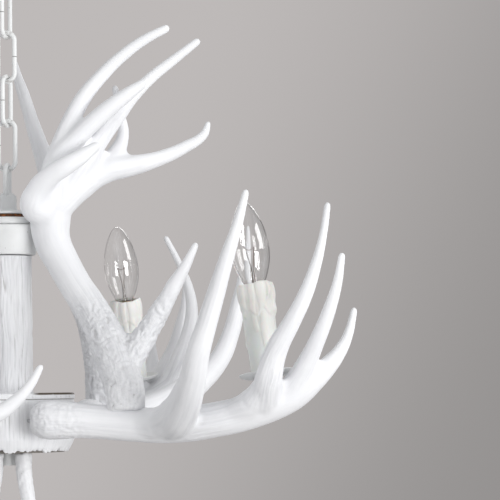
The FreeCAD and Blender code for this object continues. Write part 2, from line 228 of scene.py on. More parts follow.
def select_only(piece):
    clear_selection()
    piece.select_set(True)
    bpy.context.view_layer.objects.active = piece


def apply_modifier(piece, kind, **settings):
    modifier = piece.modifiers.new(kind.lower(), kind)
    for name, value in settings.items():
        setattr(modifier, name, value)
    select_only(piece)
    bpy.ops.object.modifier_apply(modifier=modifier.name)


def smooth_by_angle(piece, degrees=35):
    select_only(piece)
    bpy.ops.object.shade_smooth_by_angle(angle=math.radians(degrees))


def turned(name, outline, steps=96, bevel=0.0, degrees=35):
    """Spins a closed outline of (radius, height), in millimetres, round the Z axis."""
    mesh = bpy.data.meshes.new(name)
    points = [(r / 1000, 0, z / 1000) for r, z in outline]
    mesh.from_pydata(points, [(i, (i + 1) % len(points)) for i in range(len(points))], [])
    piece = bpy.data.objects.new(name, mesh)
    bpy.context.scene.collection.objects.link(piece)
    select_only(piece)
    bpy.ops.object.mode_set(mode="EDIT")
    bpy.ops.mesh.select_all(action="SELECT")
    bpy.ops.mesh.spin(steps=steps, angle=2 * math.pi, center=(0, 0, 0), axis=(0, 0, 1))
    bpy.ops.mesh.select_all(action="SELECT")
    bpy.ops.mesh.remove_doubles(threshold=0.00001)
    bpy.ops.mesh.normals_make_consistent(inside=False)
    bpy.ops.object.mode_set(mode="OBJECT")
    if bevel:
        apply_modifier(piece, "BEVEL", width=bevel / 1000, segments=2, limit_method="ANGLE",
                       angle_limit=math.radians(30))
    smooth_by_angle(piece, degrees)
    return piece


def place_piece(piece, body, node, material):
    """Gives a finished piece its material, its body and the CAD node that it stands in for."""
    piece.data.materials.clear()
    piece.data.materials.append(material)
    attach(piece, body)
    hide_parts(*([node] if isinstance(node, str) else node))


def paint_node(name, material):
    """Gives its material to a CAD node that is shown as it is."""
    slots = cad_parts[name].data.materials
    slots.clear()
    slots.append(material)


def enamel_nodes(t):
    place = t.place()
    cloud = t.noise(place, 40.0, 4.0)
    chips = t.noise(place, 260.0, 3.0, 0.6).between(0.70, 0.76)
    orange_peel = t.noise(place, 700.0, 2.0)
    base = t.mix(cloud.between(0.35, 0.7) * 0.5, (0.83, 0.84, 0.84, 1), (0.74, 0.745, 0.74, 1))
    base = t.mix(chips * 0.75, base, (0.30, 0.27, 0.24, 1))
    return {"Base Color": base, "Roughness": 0.33 + cloud * 0.15,
            "Normal": t.bump(orange_peel, 0.15, 0.0002)}


def zinc_nodes(t):
    place = t.place((1, 1, 6))
    lines = t.noise(place, 400.0, 3.0)
    return {"Base Color": t.mix(lines, (0.50, 0.51, 0.52, 1), (0.62, 0.62, 0.62, 1)),
            "Roughness": 0.3 + lines * 0.2}


enamel = finish_of("white_enamel", {"IOR": 1.5}, enamel_nodes)
zinc = finish_of("zinc_steel", {"Metallic": 1.0}, zinc_nodes)
canopy = turned("canopy_dish", CANOPY_OUTLINE, steps=128)
place_piece(canopy, "ceiling", "canopy", enamel)
for name in ("ceiling_bracket", "canopy_nipple"):
    paint_node(name, zinc)

# ---- chain ------------------------------------------------------------------------------------------
# Six oval links of 4.3 mm wire, bent round and butted: each shows its dark seam half way down one
# side. The eyes at both ends are cast, and the lower one stands edge on. Sizes are in millimetres.
WIRE = 4.3
LINK_LENGTH, LINK_WIDTH = 50.0, 20.0
LINK_COUNT = 6
LINK_PITCH = 41.1
LOWEST_FOOT = 203.4          # the underside of the lowest link, above pan level
LINK_TURNS = (-15.0, 62.0)   # which way even and odd links face
SEAM_OTHER_SIDE = (1, 4)     # links that hang with their seam on the other side
SEAM_LOOPS = (-0.0011, -0.0004, 0.0, 0.0004, 0.0011)  # mesh loops round the seam, in metres
SEAM_WAIST = 0.72            # thickness of the wire in its seam, as a share
QUARTER_HANDLE = 0.5523      # a Bezier handle for a quarter circle, as a share of its radius
EYE_LENGTH, EYE_WIDTH = 36.0, 20.0
CEILING_EYE_AT, CEILING_EYE_TURN = 510 - 44.15, -15.0


def put_in_mesh(piece, matrix=None):
    """Moves a piece's place, turn and size into its mesh, then matrix as well."""
    piece.data.transform((matrix or Matrix.Identity(4)) @ piece.matrix_basis)
    piece.matrix_basis = Matrix.Identity(4)


def move_points(piece, change):
    """Gives every point of a mesh the place that change returns for its (n, 3) array."""
    count = len(piece.data.vertices)
    places = np.empty(count * 3)
    piece.data.vertices.foreach_get("co", places)
    places = change(places.reshape(count, 3))
    piece.data.vertices.foreach_set("co", places.ravel())
    piece.data.update()


def copy_of(piece, name, matrix):
    """A copy of a piece, moved in its mesh."""
    twin = piece.copy()
    twin.data = piece.data.copy()
    twin.name = name
    twin.data.transform(matrix)
    bpy.context.scene.collection.objects.link(twin)
    return twin


def turn_z(degrees):
    return Matrix.Rotation(math.radians(degrees), 4, "Z")


def lift(height):
    """A height in millimetres above pan level, as a move."""
    return Matrix.Translation((0, 0, PAN_LEVEL + height / 1000))


def oval_link(name, length, width, seam=True):
    """A link standing upright in the XZ plane, its middle at the origin."""
    data = bpy.data.curves.new(name, "CURVE")
    data.dimensions = "3D"
    data.bevel_depth = WIRE / 2000
    data.bevel_resolution = 7
    data.resolution_u = 16
    spline = data.splines.new("BEZIER")
    r = (width - WIRE) / 2000
    half = (length - WIRE) / 2000 - r
    k = r * QUARTER_HANDLE
    corners = [  # place, then the handles before and after it
        ((-r, half), (0, -k), (0, k)), ((0, half + r), (-k, 0), (k, 0)), ((r, half), (0, k), (0, -k)),
        ((r, -half), (0, k), (0, -k)), ((0, -half - r), (k, 0), (-k, 0)), ((-r, -half), (0, -k), (0, k))]
    spline.bezier_points.add(len(corners) - 1)
    for point, ((x, z), before, after) in zip(spline.bezier_points, corners):
        point.co = (x, 0, z)
        point.handle_left_type = point.handle_right_type = "FREE"
        point.handle_left = (x + before[0], 0, z + before[1])
        point.handle_right = (x + after[0], 0, z + after[1])
    spline.use_cyclic_u = True
    link = bpy.data.objects.new(name, data)
    bpy.context.scene.collection.objects.link(link)
    select_only(link)
    bpy.ops.object.convert(target="MESH")
    link = bpy.context.active_object
    if seam:
        cut_seam(link, -r)
    bpy.ops.object.shade_smooth()
    return link


def cut_seam(link, x):
    """A fine groove round the wire, where the two ends of the bent rod meet."""
    select_only(link)
    bpy.ops.object.mode_set(mode="EDIT")
    for height in SEAM_LOOPS:
        bpy.ops.mesh.select_all(action="SELECT")
        bpy.ops.mesh.bisect(plane_co=(0, 0, height), plane_no=(0, 0, 1))
    bpy.ops.object.mode_set(mode="OBJECT")

    def sink(p):
        at_seam = (np.abs(p[:, 2]) < 0.0002) & (p[:, 0] < 0)
        p[at_seam, 0] = x + (p[at_seam, 0] - x) * SEAM_WAIST
        p[at_seam, 1] *= SEAM_WAIST
        return p

    move_points(link, sink)


def link_nodes(t):
    """Enamel, with a dark line at the butt seam and rubbed metal where the links bear."""
    values = enamel_nodes(t)
    height = t.node("ShaderNodeAttribute", {"attribute_name": "up"}, out="Fac")
    seam = 1 - (height - 0.5).math("ABSOLUTE").between(0.002, 0.012)
    rub = (height - 0.5).math("ABSOLUTE").between(0.395, 0.46)
    rub = rub * t.noise(t.place(), 300.0).between(0.45, 0.6)
    base = t.mix(rub * 0.55, values["Base Color"], (0.33, 0.31, 0.29, 1))
    values["Base Color"] = t.mix(seam * 0.8, base, (0.12, 0.11, 0.10, 1))
    return values


def mark_height(link, length):
    """Stores how far up the link each point lies, from 0 to 1, one-sided for the seam."""
    def share(place):
        up = place.z / (length / 1000)
        if place.x < 0 or abs(place.z) > 0.3 * length / 1000:
            return up + 0.5
        return 0.5 + math.copysign(0.05, place.z) + up * 0.8

    layer = link.data.attributes.new("up", "FLOAT", "POINT")
    layer.data.foreach_set("value", [share(v.co) for v in link.data.vertices])


def cast_eye(name, middle, degrees, collar):
    """An eye joined to the turned piece that holds it."""
    eye = oval_link(name, EYE_LENGTH, EYE_WIDTH, seam=False)
    put_in_mesh(eye, lift(middle) @ turn_z(degrees))
    select_only(eye)
    collar.select_set(True)
    bpy.ops.object.join()
    return bpy.context.active_object


link_paint = finish_of("link_enamel", {"IOR": 1.5}, link_nodes)
master = oval_link("link_master", LINK_LENGTH, LINK_WIDTH)
mark_height(master, LINK_LENGTH)
for number in range(1, LINK_COUNT + 1):
    foot = LOWEST_FOOT + LINK_PITCH * (LINK_COUNT - number)
    flip = Matrix.Rotation(math.pi, 4, "Z") if number in SEAM_OTHER_SIDE else Matrix.Identity(4)
    link = copy_of(master, "oval_link_%d" % number,
                   lift(foot + (LINK_LENGTH - WIRE) / 2) @ turn_z(LINK_TURNS[number % 2]) @ flip)
    place_piece(link, "link_%d" % number, "chain_link_%d" % number, link_paint)
bpy.data.objects.remove(master)
collar = turned("collar", [(5.1, -27.2), (10.6, -27.2), (12, -28.4), (12, -35), (10.8, -37), (9, -38),
                           (0.01, -38), (0.01, -36), (5.1, -36)], steps=64, bevel=0.4)
eye = cast_eye("canopy_eye", CEILING_EYE_AT, CEILING_EYE_TURN, collar)
place_piece(eye, "ceiling", "canopy_loop", enamel)

# ---- cap and collar ----------------------------------------------------------------------------------
# The column is closed by a stack of turned steel discs on a flared cup, and the lamp hangs by the
# eye on top. The paint stops short of one disc, which shows as a narrow band of dark bronze.
# Outlines are (radius, height above the pans) in millimetres.
LAMP_EYE_AT, LAMP_EYE_TURN = 208 - 15.85, 76.0
EYE_FOOT = 174.0             # the eye's wire ends in the neck at this height
NECK_OUTLINE = [(6.6, 161.6), (22.6, 161.6), (23, 162), (23, 163.6), (22.4, 164.2), (11, 165), (9.2, 166),
                (8.5, 168), (8.4, 177.6), (7.9, 179.4), (6.6, 180)]
EYE_PLUG_OUTLINE = [(0.01, 173.2), (6.4, 173.2), (6.4, 180.4), (5.4, 181.6), (0.01, 182)]
BAND_OUTLINE = [(6.6, 158.5), (20.6, 158.5), (21, 158.9), (21, 161.1), (20.6, 161.5), (6.6, 161.5)]
DISC_OUTLINE = [(6.6, 151.6), (23.6, 151.6), (24.6, 152.6), (25, 154.5), (24.7, 156.6), (23.8, 158.4),
                (6.6, 158.4)]
CUP_OUTLINE = [(6.6, 124), (24.4, 124), (25.6, 124.6), (26.1, 126), (27.2, 136), (28.6, 146), (29, 148.5),
               (28.6, 150.8), (27.6, 151.5), (25.5, 151.5), (22.5, 127.5), (6.6, 127.5)]


def turned_on_axis(name, outline, **settings):
    """A turned piece on the lamp's axis, its heights counted from pan level."""
    piece = turned(name, outline, **settings)
    put_in_mesh(piece, lift(0))
    return piece


def trim_below(piece, height):
    """Cuts off what lies below a height above pan level and closes the cut."""
    select_only(piece)
    bpy.ops.object.mode_set(mode="EDIT")
    bpy.ops.mesh.select_all(action="SELECT")
    bpy.ops.mesh.bisect(plane_co=(0, 0, PAN_LEVEL + height / 1000), plane_no=(0, 0, 1), clear_inner=True,
                        use_fill=True)
    bpy.ops.object.mode_set(mode="OBJECT")


def bronze_nodes(t):
    place = t.place()
    cloud = t.noise(place, 220.0, 4.0, 0.65)
    base = t.mix(cloud.between(0.35, 0.65), (0.36, 0.13, 0.045, 1), (0.07, 0.045, 0.035, 1))
    return {"Base Color": base, "Roughness": 0.35 + cloud * 0.25, "Metallic": 0.8}


bronze = finish_of("dark_bronze", {}, bronze_nodes)
neck = turned_on_axis("neck", NECK_OUTLINE, bevel=0.25)
place_piece(neck, "lamp", "cap_neck", enamel)
foot = turned_on_axis("foot", EYE_PLUG_OUTLINE, steps=48)
eye = cast_eye("hanging_eye", LAMP_EYE_AT, LAMP_EYE_TURN, foot)
trim_below(eye, EYE_FOOT)
place_piece(eye, "lamp", "top_loop", enamel)
band = turned_on_axis("bronze_band", BAND_OUTLINE, bevel=0.2)
place_piece(band, "lamp", "bronze_ring", bronze)
disc = turned_on_axis("cap_disc", DISC_OUTLINE, bevel=0.3)
place_piece(disc, "lamp", "top_cap", enamel)
cup = turned_on_axis("flared_cup", CUP_OUTLINE, bevel=0.25)
place_piece(cup, "lamp", "top_collar", enamel)

# ---- column and hub -------------------------------------------------------------------------------
# Cast resin round a steel tube: a column with bark-like grooves stands on a broad drum with finer
# upright grooves, whose lower rim is left ragged. A dark brown line is painted along the cover's edge.
# The paint is matt to satin white; painted shade makes it a little greyer in the grooves and dark in the
# deep hollows and the few pits.
PAINT_LIGHT = (0.900, 0.904, 0.922, 1)
# A darker tone, mixed in at random and as painted shade in the grooves and in the burr's wrinkles.
DARKER_TONE_AND_PAINTED_SHADE = (0.73, 0.735, 0.76, 1)
# Painted shade, dark, in the deep hollows, cracks and pits.
PAINTED_HOLLOW_SHADE = (0.36, 0.345, 0.335, 1)
# Painted shadow in the seam under the hub's cover.
PAINTED_SEAM_SHADOW = (0.20, 0.18, 0.165, 1)
# A dark brown line painted along part of the cover's upper edge.
DARK_BROWN_LINE = (0.085, 0.062, 0.04, 1)
# Bark's coarse share sets how strongly its lines show, in the bump and in the painted shade of the grooves.
BARK_COARSE = 0.45           # how strongly the paint shows its lines on bark
COLUMN_R, COLUMN_FOOT, COLUMN_STEP = 22.5, -3, 1.4
column_outline = [(6.6, 124), (6.6, -3)] + [(COLUMN_R, COLUMN_FOOT + COLUMN_STEP * i) for i in range(91)]
drum_outline = [(6.6, -9), (6.6, -18), (51, -18)] + [(51, -18 - 1.5 * i) for i in range(1, 26)] + [
    (51, -57), (52.5, -57), (54, -57), (54.9, -55.4), (55.8, -53.8), (56.7, -52.2), (57.6, -50.4),
    (58.5, -48.6), (59.3, -46.8)] + [(60, -45 + 1.4 * i) for i in range(25)] + [(59.6, -9.9), (58.8, -9)]
COVER_OUTLINE = [(6.6, -9), (59.2, -9), (60.2, -8.4), (60.5, -7), (60.4, -5), (59.6, -3.6), (58, -3),
                 (6.6, -3)]


def noise_at(places, seed):
    """Smooth noise, about -1 to 1, one value for each row of places."""
    return np.array([noise.noise((x + seed, y - seed, z + 2 * seed)) for x, y, z in places])


def normals_of(piece):
    """The outward direction at every point of a mesh."""
    count = len(piece.data.vertices)
    values = np.empty(count * 3)
    piece.data.vertices.foreach_get("normal", values)
    return values.reshape(count, 3)


def store(piece, name, kind, values):
    """Keeps a value or vector for every point of a mesh, for its material to read."""
    layer = piece.data.attributes.new(name, kind, "POINT")
    field = "vector" if kind == "FLOAT_VECTOR" else "value"
    layer.data.foreach_set(field, np.ascontiguousarray(values).ravel())


def bark(piece, around, along, depth, wander=0.0, ragged=0.0):
    """Cuts upright grooves into a turned piece and stores them for its bump and its painted shade."""
    def change(p):
        side = normals_of(piece)
        turn = np.arctan2(p[:, 1], p[:, 0])

        def unrolled(scale, height):
            return np.stack([np.cos(turn) * scale, np.sin(turn) * scale, height], axis=1)

        turn = turn + wander * noise_at(unrolled(2, p[:, 2] * 26), 8.8)
        ring = unrolled(around, p[:, 2] * along)
        broad = noise_at(ring * (0.5, 0.5, 1), 3.1)
        lines = noise_at(ring, 7.7)
        fine = noise_at(ring * (2.3, 2.3, 1.6), 1.3)
        cut = np.clip(0.45 - np.abs(lines) * 2.2, 0, 1) * 0.6 + np.clip(0.3 - np.abs(fine) * 1.6, 0, 1) * 0.4
        cut = cut + np.clip(0.5 - broad, 0, 1) * 0.4
        crack = np.clip(0.10 - np.abs(noise_at(ring * (0.8, 0.8, 0.45), 6.4)), 0, 1) * 10
        crack = crack * np.clip(broad * 3 + 0.6, 0, 1)
        upright = np.clip(1 - np.abs(side[:, 2]) * 1.6, 0, 1)
        # The grooves and cracks are stored as depth, where the material paints shade.
        store(piece, "depth", "FLOAT", np.clip(cut * 0.6 + crack * 0.5, 0, 1) * upright)
        store(piece, "coarse", "FLOAT", np.full(len(p), BARK_COARSE))
        store(piece, "grain", "FLOAT_VECTOR", ring * (1.0, 1.0, 0.6))
        moved = p - side * (depth * (cut + 0.5 * crack) * upright)[:, None]
        if ragged:
            low = p[:, 2] < p[:, 2].min() + ragged
            lip = unrolled(9, np.zeros(len(p)))
            edge = noise_at(lip, 5.5) * 0.6 + noise_at(lip * 3, 2.5) * 0.4
            share = np.clip((p[:, 2].min() + ragged - p[:, 2]) / ragged, 0, 1)
            moved[:, 2] += np.where(low, share * (0.45 + edge) * ragged, 0)
        return moved
    move_points(piece, change)


def resin_nodes(t):
    """Paint with painted shade in its grooves: grain runs along them, and depth, coarse and gnarled grade the
    bump and the painted shade.
    """
    grain = t.node("ShaderNodeAttribute", {"attribute_name": "grain"}, out="Vector")
    depth = t.node("ShaderNodeAttribute", {"attribute_name": "depth"}, out="Fac")
    coarse = t.node("ShaderNodeAttribute", {"attribute_name": "coarse"}, out="Fac")
    gnarled = t.node("ShaderNodeAttribute", {"attribute_name": "gnarled"}, out="Fac")
    place = t.place()
    cloud = t.noise(place, 18.0, 3.0)
    streak = t.noise(grain, 1.0, 4.0, 0.6)
    fine = t.noise(grain, 3.1, 2.0, 0.5)
    wrinkle = t.noise(place, 380.0, 3.0, 0.6, 0.6)
    lines = streak * 0.65 + fine * 0.35
    height = lines * coarse * 1.3 + wrinkle * gnarled * 0.8
    # Painted shade, darkest, in the deep hollows of grooves, folds and pits.
    pits = depth.between(0.15, 0.9)
    # A darker tone at random, plus painted shade where the grooves and the burr's wrinkles lie low.
    shade = (cloud.between(0.3, 0.7) * 0.35 + (1 - lines.between(0.32, 0.58)) * (0.04 + coarse * 0.8)
             + (1 - wrinkle.between(0.35, 0.6)) * gnarled * 0.25).clamped()
    base = t.mix(shade, PAINT_LIGHT, DARKER_TONE_AND_PAINTED_SHADE)
    base = t.mix(pits * 0.8, base, PAINTED_HOLLOW_SHADE)
    return {"Base Color": base, "Roughness": 0.5 + cloud * 0.12, "Normal": t.bump(height, 0.9, 0.0011)}


def cover_nodes(t):
    """Painted shadow in the seam under the cover, and a dark brown line painted along a stretch of its upper
    edge.
    """
    values = resin_nodes(t)
    height = t.node("ShaderNodeSeparateXYZ", {}, {"Vector": t.place()}, out=2)
    side = t.node("ShaderNodeSeparateXYZ", {}, {"Vector": t.place()}, out=0)
    # Painted shadow in the seam along the cover's lower edge.
    seam = 1 - height.between(PAN_LEVEL - 0.0086, PAN_LEVEL - 0.0080)
    # A dark brown line painted in patches along the upper edge, on the right side only.
    bare = height.between(PAN_LEVEL - 0.0054, PAN_LEVEL - 0.0042) * side.between(0.018, 0.028)
    bare = bare * t.noise(t.place(), 120.0).between(0.2, 0.45)
    base = t.mix(seam * 0.7, values["Base Color"], PAINTED_SEAM_SHADOW)
    values["Base Color"] = t.mix(bare, base, DARK_BROWN_LINE)
    return values


resin = finish_of("white_resin", {"IOR": 1.45}, resin_nodes)
column = turned_on_axis("bark_column", column_outline, steps=220)
bark(column, around=5.6, along=20, depth=0.0022, wander=0.16)
place_piece(column, "lamp", "column_sleeve", resin)
drum = turned_on_axis("grooved_drum", drum_outline, steps=480)
bark(drum, around=17.0, along=14, depth=0.0019, wander=0.03, ragged=0.0042)
place_piece(drum, "lamp", "hub_drum", resin)
cover = turned_on_axis("cover", COVER_OUTLINE, steps=192)
bark(cover, around=17.0, along=12, depth=0.0003)
place_piece(cover, "lamp", "hub_cover", finish_of("brown_lined_resin", {"IOR": 1.45}, cover_nodes))

# ---- antlers ----------------------------------------------------------------------------------------
# Cast polyresin, screwed to the hub and the collar. One mould, with or without a brow tine, gives the
# four lower antlers, and two moulds give the four upper ones, which stand on them. Four short tines
# hang below the hub. Grooves are deep at the burr and foot and nearly gone at the tips.
# A tine is a list of (x, y, height above the pans, radius) in millimetres.
GROW = 2.4                   # how far tines are fattened before the skin closes over their crotches
FIRST_VOXEL, SKIN_VOXEL = 0.0015, 0.0013
SKIN_SMOOTHING = 6           # passes after each remesh
LINE_STEP = 0.0015           # between the points of a tine's middle line, in metres
CROTCH = 0.004               # grooves fade where another tine is this little further away
TIP_FADE, TIP_SHARE = 0.16, 0.10  # how far from a tip grooves are full, and their share at the tip
FLUTES_ROUND, FLUTES_ALONG = 190, 9  # cells of the grooves' noise per metre, round and along a tine
TINE_SHIFT = 3.7             # keeps the patterns of neighbouring tines apart
GROOVE_DEPTH, SWELL, FOLD_DEPTH, PIT_DEPTH = 0.0019, 0.0006, 0.0013, 0.0010
FOLD_CELLS, FOLD_WARP, PIT_CELLS = (170, 170, 130), 90, 330
PITS_BELOW = 26              # pits lie below this height, in millimetres above the pans
LOWER_BEAM = [
    (16, -73, -27, 6), (19, -73, -27, 11.5), (25, -73, -27, 15.8), (34, -74, -27, 18),
    (64, -79, -28, 16), (100, -88, -31, 15.5), (140, -103, -33, 16), (181, -122, -28, 16),
    (215, -134, -20, 15.5), (245, -143, -8, 14), (264, -148, 6, 11), (277, -150, 18, 8.6),
    (287, -150, 30, 6.4), (294, -150, 43, 4.8), (300, -150, 65, 3.3)]
LOWER_TINES = [
    [(140, -103, -33, 15), (146, -133, -27, 15), (151, -163, -13, 13.6), (155, -190, 7, 12),
     (158, -209, 28, 10.4), (165, -221, 53, 9), (173, -229, 80, 8), (181, -236, 107, 6.6),
     (190, -241, 135, 4.8), (197, -244, 161, 3.3)],
    [(222, -139, -16, 14), (222, -163, 4, 12.5), (228, -175, 30, 10), (240, -184, 53, 8.2),
     (252, -189, 77, 6.8), (262, -187, 103, 5.3), (270, -178, 129, 3.9), (276, -165, 156, 3.3)],
    [(240, -145, -8, 11), (255, -158, 17, 9), (265, -170, 40, 7.3), (274, -178, 64, 6.2),
     (281, -184, 88, 4.6), (285, -186, 111, 3.3)]]
# Webs lead the beam into its first two tines, which would else stand on it like pegs.
LOWER_WEBS = [
    [(112, -92, -32, 13.5), (130, -108, -31, 14.5), (143, -135, -22, 14.5), (151, -168, -4, 12),
     (157, -197, 20, 7.5)],
    [(190, -126, -26, 13), (210, -144, -14, 13), (222, -163, 6, 10.5), (229, -177, 28, 6.5)]]
BROW_TINE = [
    (150, -105, -32, 11), (150, -60, -31, 9.5), (150, -10, -20, 7.6), (150, 5, -10, 6),
    (150, 18, 4, 4.6), (150, 27, 19, 3.3)]
UPPER_BEAM = [
    (103, -93, -23, 16.5), (102, -89, 0, 18), (98, -81, 15, 18), (92, -75, 33, 18),
    (84, -66, 53, 16.5), (73, -54, 74, 15.6), (61, -43, 94, 15), (50, -33, 115, 15.4),
    (40.5, -25.5, 136, 17), (39, -24.5, 156, 19), (43, -27, 180, 14)]
UPPER_BROW = [
    (100, -82, 12, 12), (113, -79, 35, 12.5), (125, -81, 52, 10.2), (136, -86, 71, 8.9),
    (146, -92, 89, 7.6), (157, -98, 108, 5.2), (166, -100, 126, 3.3)]
SECOND_BEAM = [
    (103, -91, -20, 17), (102, -91, 0, 18), (98, -91, 15, 18), (92, -89, 33, 18), (82, -84, 55, 16.5),
    (70, -76, 76, 15.6), (57, -65, 96, 15), (43, -53, 116, 15.4), (31, -42, 136, 16.5),
    (29, -35, 156, 17), (38, -36, 180, 14)]
SECOND_BROW = [
    (100, -90, 12, 12), (112, -88, 33, 12.5), (122, -85, 52, 10.2), (132, -80, 71, 8.9),
    (141, -73, 89, 7.6), (150, -65, 108, 5.2), (157, -57, 126, 3.3)]
FAN_D = [
    (36, -34, 160, 14), (23, -42, 166, 12), (27, -47, 180, 10.5), (38, -53, 192, 9.6),
    (52, -58, 201, 9), (67, -58, 210, 7.4), (80, -56, 219, 4.8)]
# The fan of the near mould, then that of the far one, which is mostly hidden.
UPPER_FANS = [
    [FAN_D,
     [(38, -32, 165, 14), (42, -31, 200, 11), (47, -30, 217, 9.8), (57, -27, 242, 8.8),
      (70, -23, 267, 7.8), (86, -20, 287, 6.8), (104, -16, 305, 6), (126, -11, 322, 5.2),
      (148, -8, 334, 4.2)],
     [(44, -26, 170, 14), (66, -20, 202, 12), (84, -16, 229, 10), (101, -14, 251, 8),
      (116, -12, 270, 6.6), (134, -10, 288, 5.6), (154, -8, 304, 5), (177, -5, 322, 4)],
     [(38, -32, 172, 15), (47, -34, 210, 10.5), (61, -37, 226, 9.4), (76, -39, 241, 8.6),
      (92, -40, 255, 8), (109, -39, 268, 6.8), (123, -37, 278, 4.8)],
     [(42, -28, 164, 15), (66, -15, 188, 15), (88, -6, 201, 12.5), (115, 2, 207, 10),
      (141, 8, 214, 7.4), (166, 10, 225, 6), (184, 10, 237, 4.6), (188, 10, 247, 3)],
     [(84, -6, 198, 12), (101, 3, 219, 8.2), (108, 6, 237, 5.6), (105, 7, 258, 4.4),
      (101, 6, 280, 3.3)]],
    [FAN_D,
     [(38, -36, 165, 14), (42, -40, 200, 10), (47, -36, 217, 8), (57, -29, 240, 7.2),
      (70, -23, 262, 6), (86, -18, 284, 4.6), (104, -12, 304, 3.8), (122, -8, 320, 3.3)],
     [(44, -38, 170, 14), (66, -40, 200, 10.5), (84, -34, 220, 7.4), (101, -27, 243, 6),
      (116, -22, 262, 5.2), (134, -17, 281, 4.2), (154, -12, 300, 3.6), (170, -9, 314, 3.3)],
     [(38, -34, 172, 15), (47, -42, 208, 10.5), (61, -50, 224, 9.4), (76, -57, 241, 8.6),
      (92, -62, 255, 7.4), (109, -66, 268, 5.6), (127, -69, 280, 3.3)],
     [(42, -34, 162, 15), (66, -42, 184, 14), (88, -50, 198, 12), (115, -56, 206, 10),
      (141, -59, 213, 7.4), (166, -60, 225, 5.8), (184, -60, 238, 4.2), (187, -60, 249, 3)],
     [(84, -48, 196, 11), (100, -52, 217, 8.2), (107, -56, 237, 5.6), (105, -65, 258, 4.4),
      (102, -71, 278, 3.3)]]]
FINIAL_TINE = [
    (18, 0, -55, 8), (19, 0, -76, 7.4), (24, 0, -100, 6.6), (32, 0, -124, 5.2), (38, 0, -150, 3.3)]
FINIAL_TURN = -45            # degrees from the lower antlers
# Burrs: the middle of the coarse folds, how far they reach in metres, and how strong they are.
LOWER_BURR = ((30, -73, -27), 0.05, 0.45)
UPPER_BURR = ((104, -86, 28), 0.08, 1.0)
FINIAL_BURR = ((18, 0, -62), 0.05, 0.6)
# A candle leans square to its rising beam. Its place is the middle of the drip pan's underside.
CANDLE = (226.0, -127.0, 8.0)
CANDLE_LEAN, CANDLE_TURN = math.radians(9.0), math.radians(-43.0)
SEAT_R, SEAT_DEPTH = 13, 34
at_candle = (Matrix.Translation((CANDLE[0] / 1000, CANDLE[1] / 1000, PAN_LEVEL + CANDLE[2] / 1000))
             @ Matrix.Rotation(CANDLE_TURN, 4, "Z") @ Matrix.Rotation(-CANDLE_LEAN, 4, "Y"))


def tine_solid(name, points):
    """A tine as a tube of changing thickness along a smooth curve, closed at both ends."""
    data = bpy.data.curves.new(name, "CURVE")
    data.dimensions = "3D"
    data.bevel_depth = 0.001
    data.bevel_resolution = 8
    data.resolution_u = 14
    data.use_fill_caps = True
    spline = data.splines.new("BEZIER")
    spline.bezier_points.add(len(points) - 1)
    for point, (x, y, z, r) in zip(spline.bezier_points, points):
        point.co = (x / 1000, y / 1000, z / 1000)
        point.radius = r + GROW
        point.handle_left_type = point.handle_right_type = "AUTO"
    solid = bpy.data.objects.new(name, data)
    bpy.context.scene.collection.objects.link(solid)
    select_only(solid)
    bpy.ops.object.convert(target="MESH")
    return bpy.context.active_object


def ball(x, y, z, radius):
    """Rounds off the tip of a tine."""
    bpy.ops.mesh.primitive_uv_sphere_add(segments=32, ring_count=16, radius=radius / 1000,
                                         location=(x / 1000, y / 1000, z / 1000))
    return bpy.context.active_object


def candle_seat():
    """The short boss on the beam that a drip pan is screwed down on."""
    bpy.ops.mesh.primitive_cylinder_add(
        vertices=64, radius=(SEAT_R + GROW) / 1000, depth=(SEAT_DEPTH + GROW) / 1000,
        location=(0, 0, (GROW - SEAT_DEPTH) / 2000))
    seat = bpy.context.active_object
    put_in_mesh(seat, lift(0).inverted() @ at_candle)
    return seat


def merge(name, solids):
    """Joins pieces into one object, under the first one's settings."""
    clear_selection()
    for solid in solids:
        solid.select_set(True)
    bpy.context.view_layer.objects.active = solids[0]
    bpy.ops.object.join()
    joined = bpy.context.active_object
    joined.name = name
    return joined


def centreline(points, step=LINE_STEP):
    """Points every 1.5 mm along a tine with a side direction that turns no more than it must."""
    knots = np.array([p[:3] for p in points], dtype=float) / 1000
    radii = np.array([p[3] for p in points]) / 1000
    lengths = np.concatenate([[0], np.cumsum(np.linalg.norm(np.diff(knots, axis=0), axis=1))])
    along = np.arange(0, lengths[-1], step)
    line = np.stack([np.interp(along, lengths, knots[:, i]) for i in range(3)], axis=1)
    ways = np.gradient(line, axis=0)
    ways /= np.linalg.norm(ways, axis=1)[:, None]
    side = np.cross(ways[0], (0.13, 0.31, 0.94))
    sides = []
    for way in ways:
        side = side - way * side.dot(way)
        side /= np.linalg.norm(side)
        sides.append(side)
    return line, ways, np.array(sides), along, np.interp(along, lengths, radii)


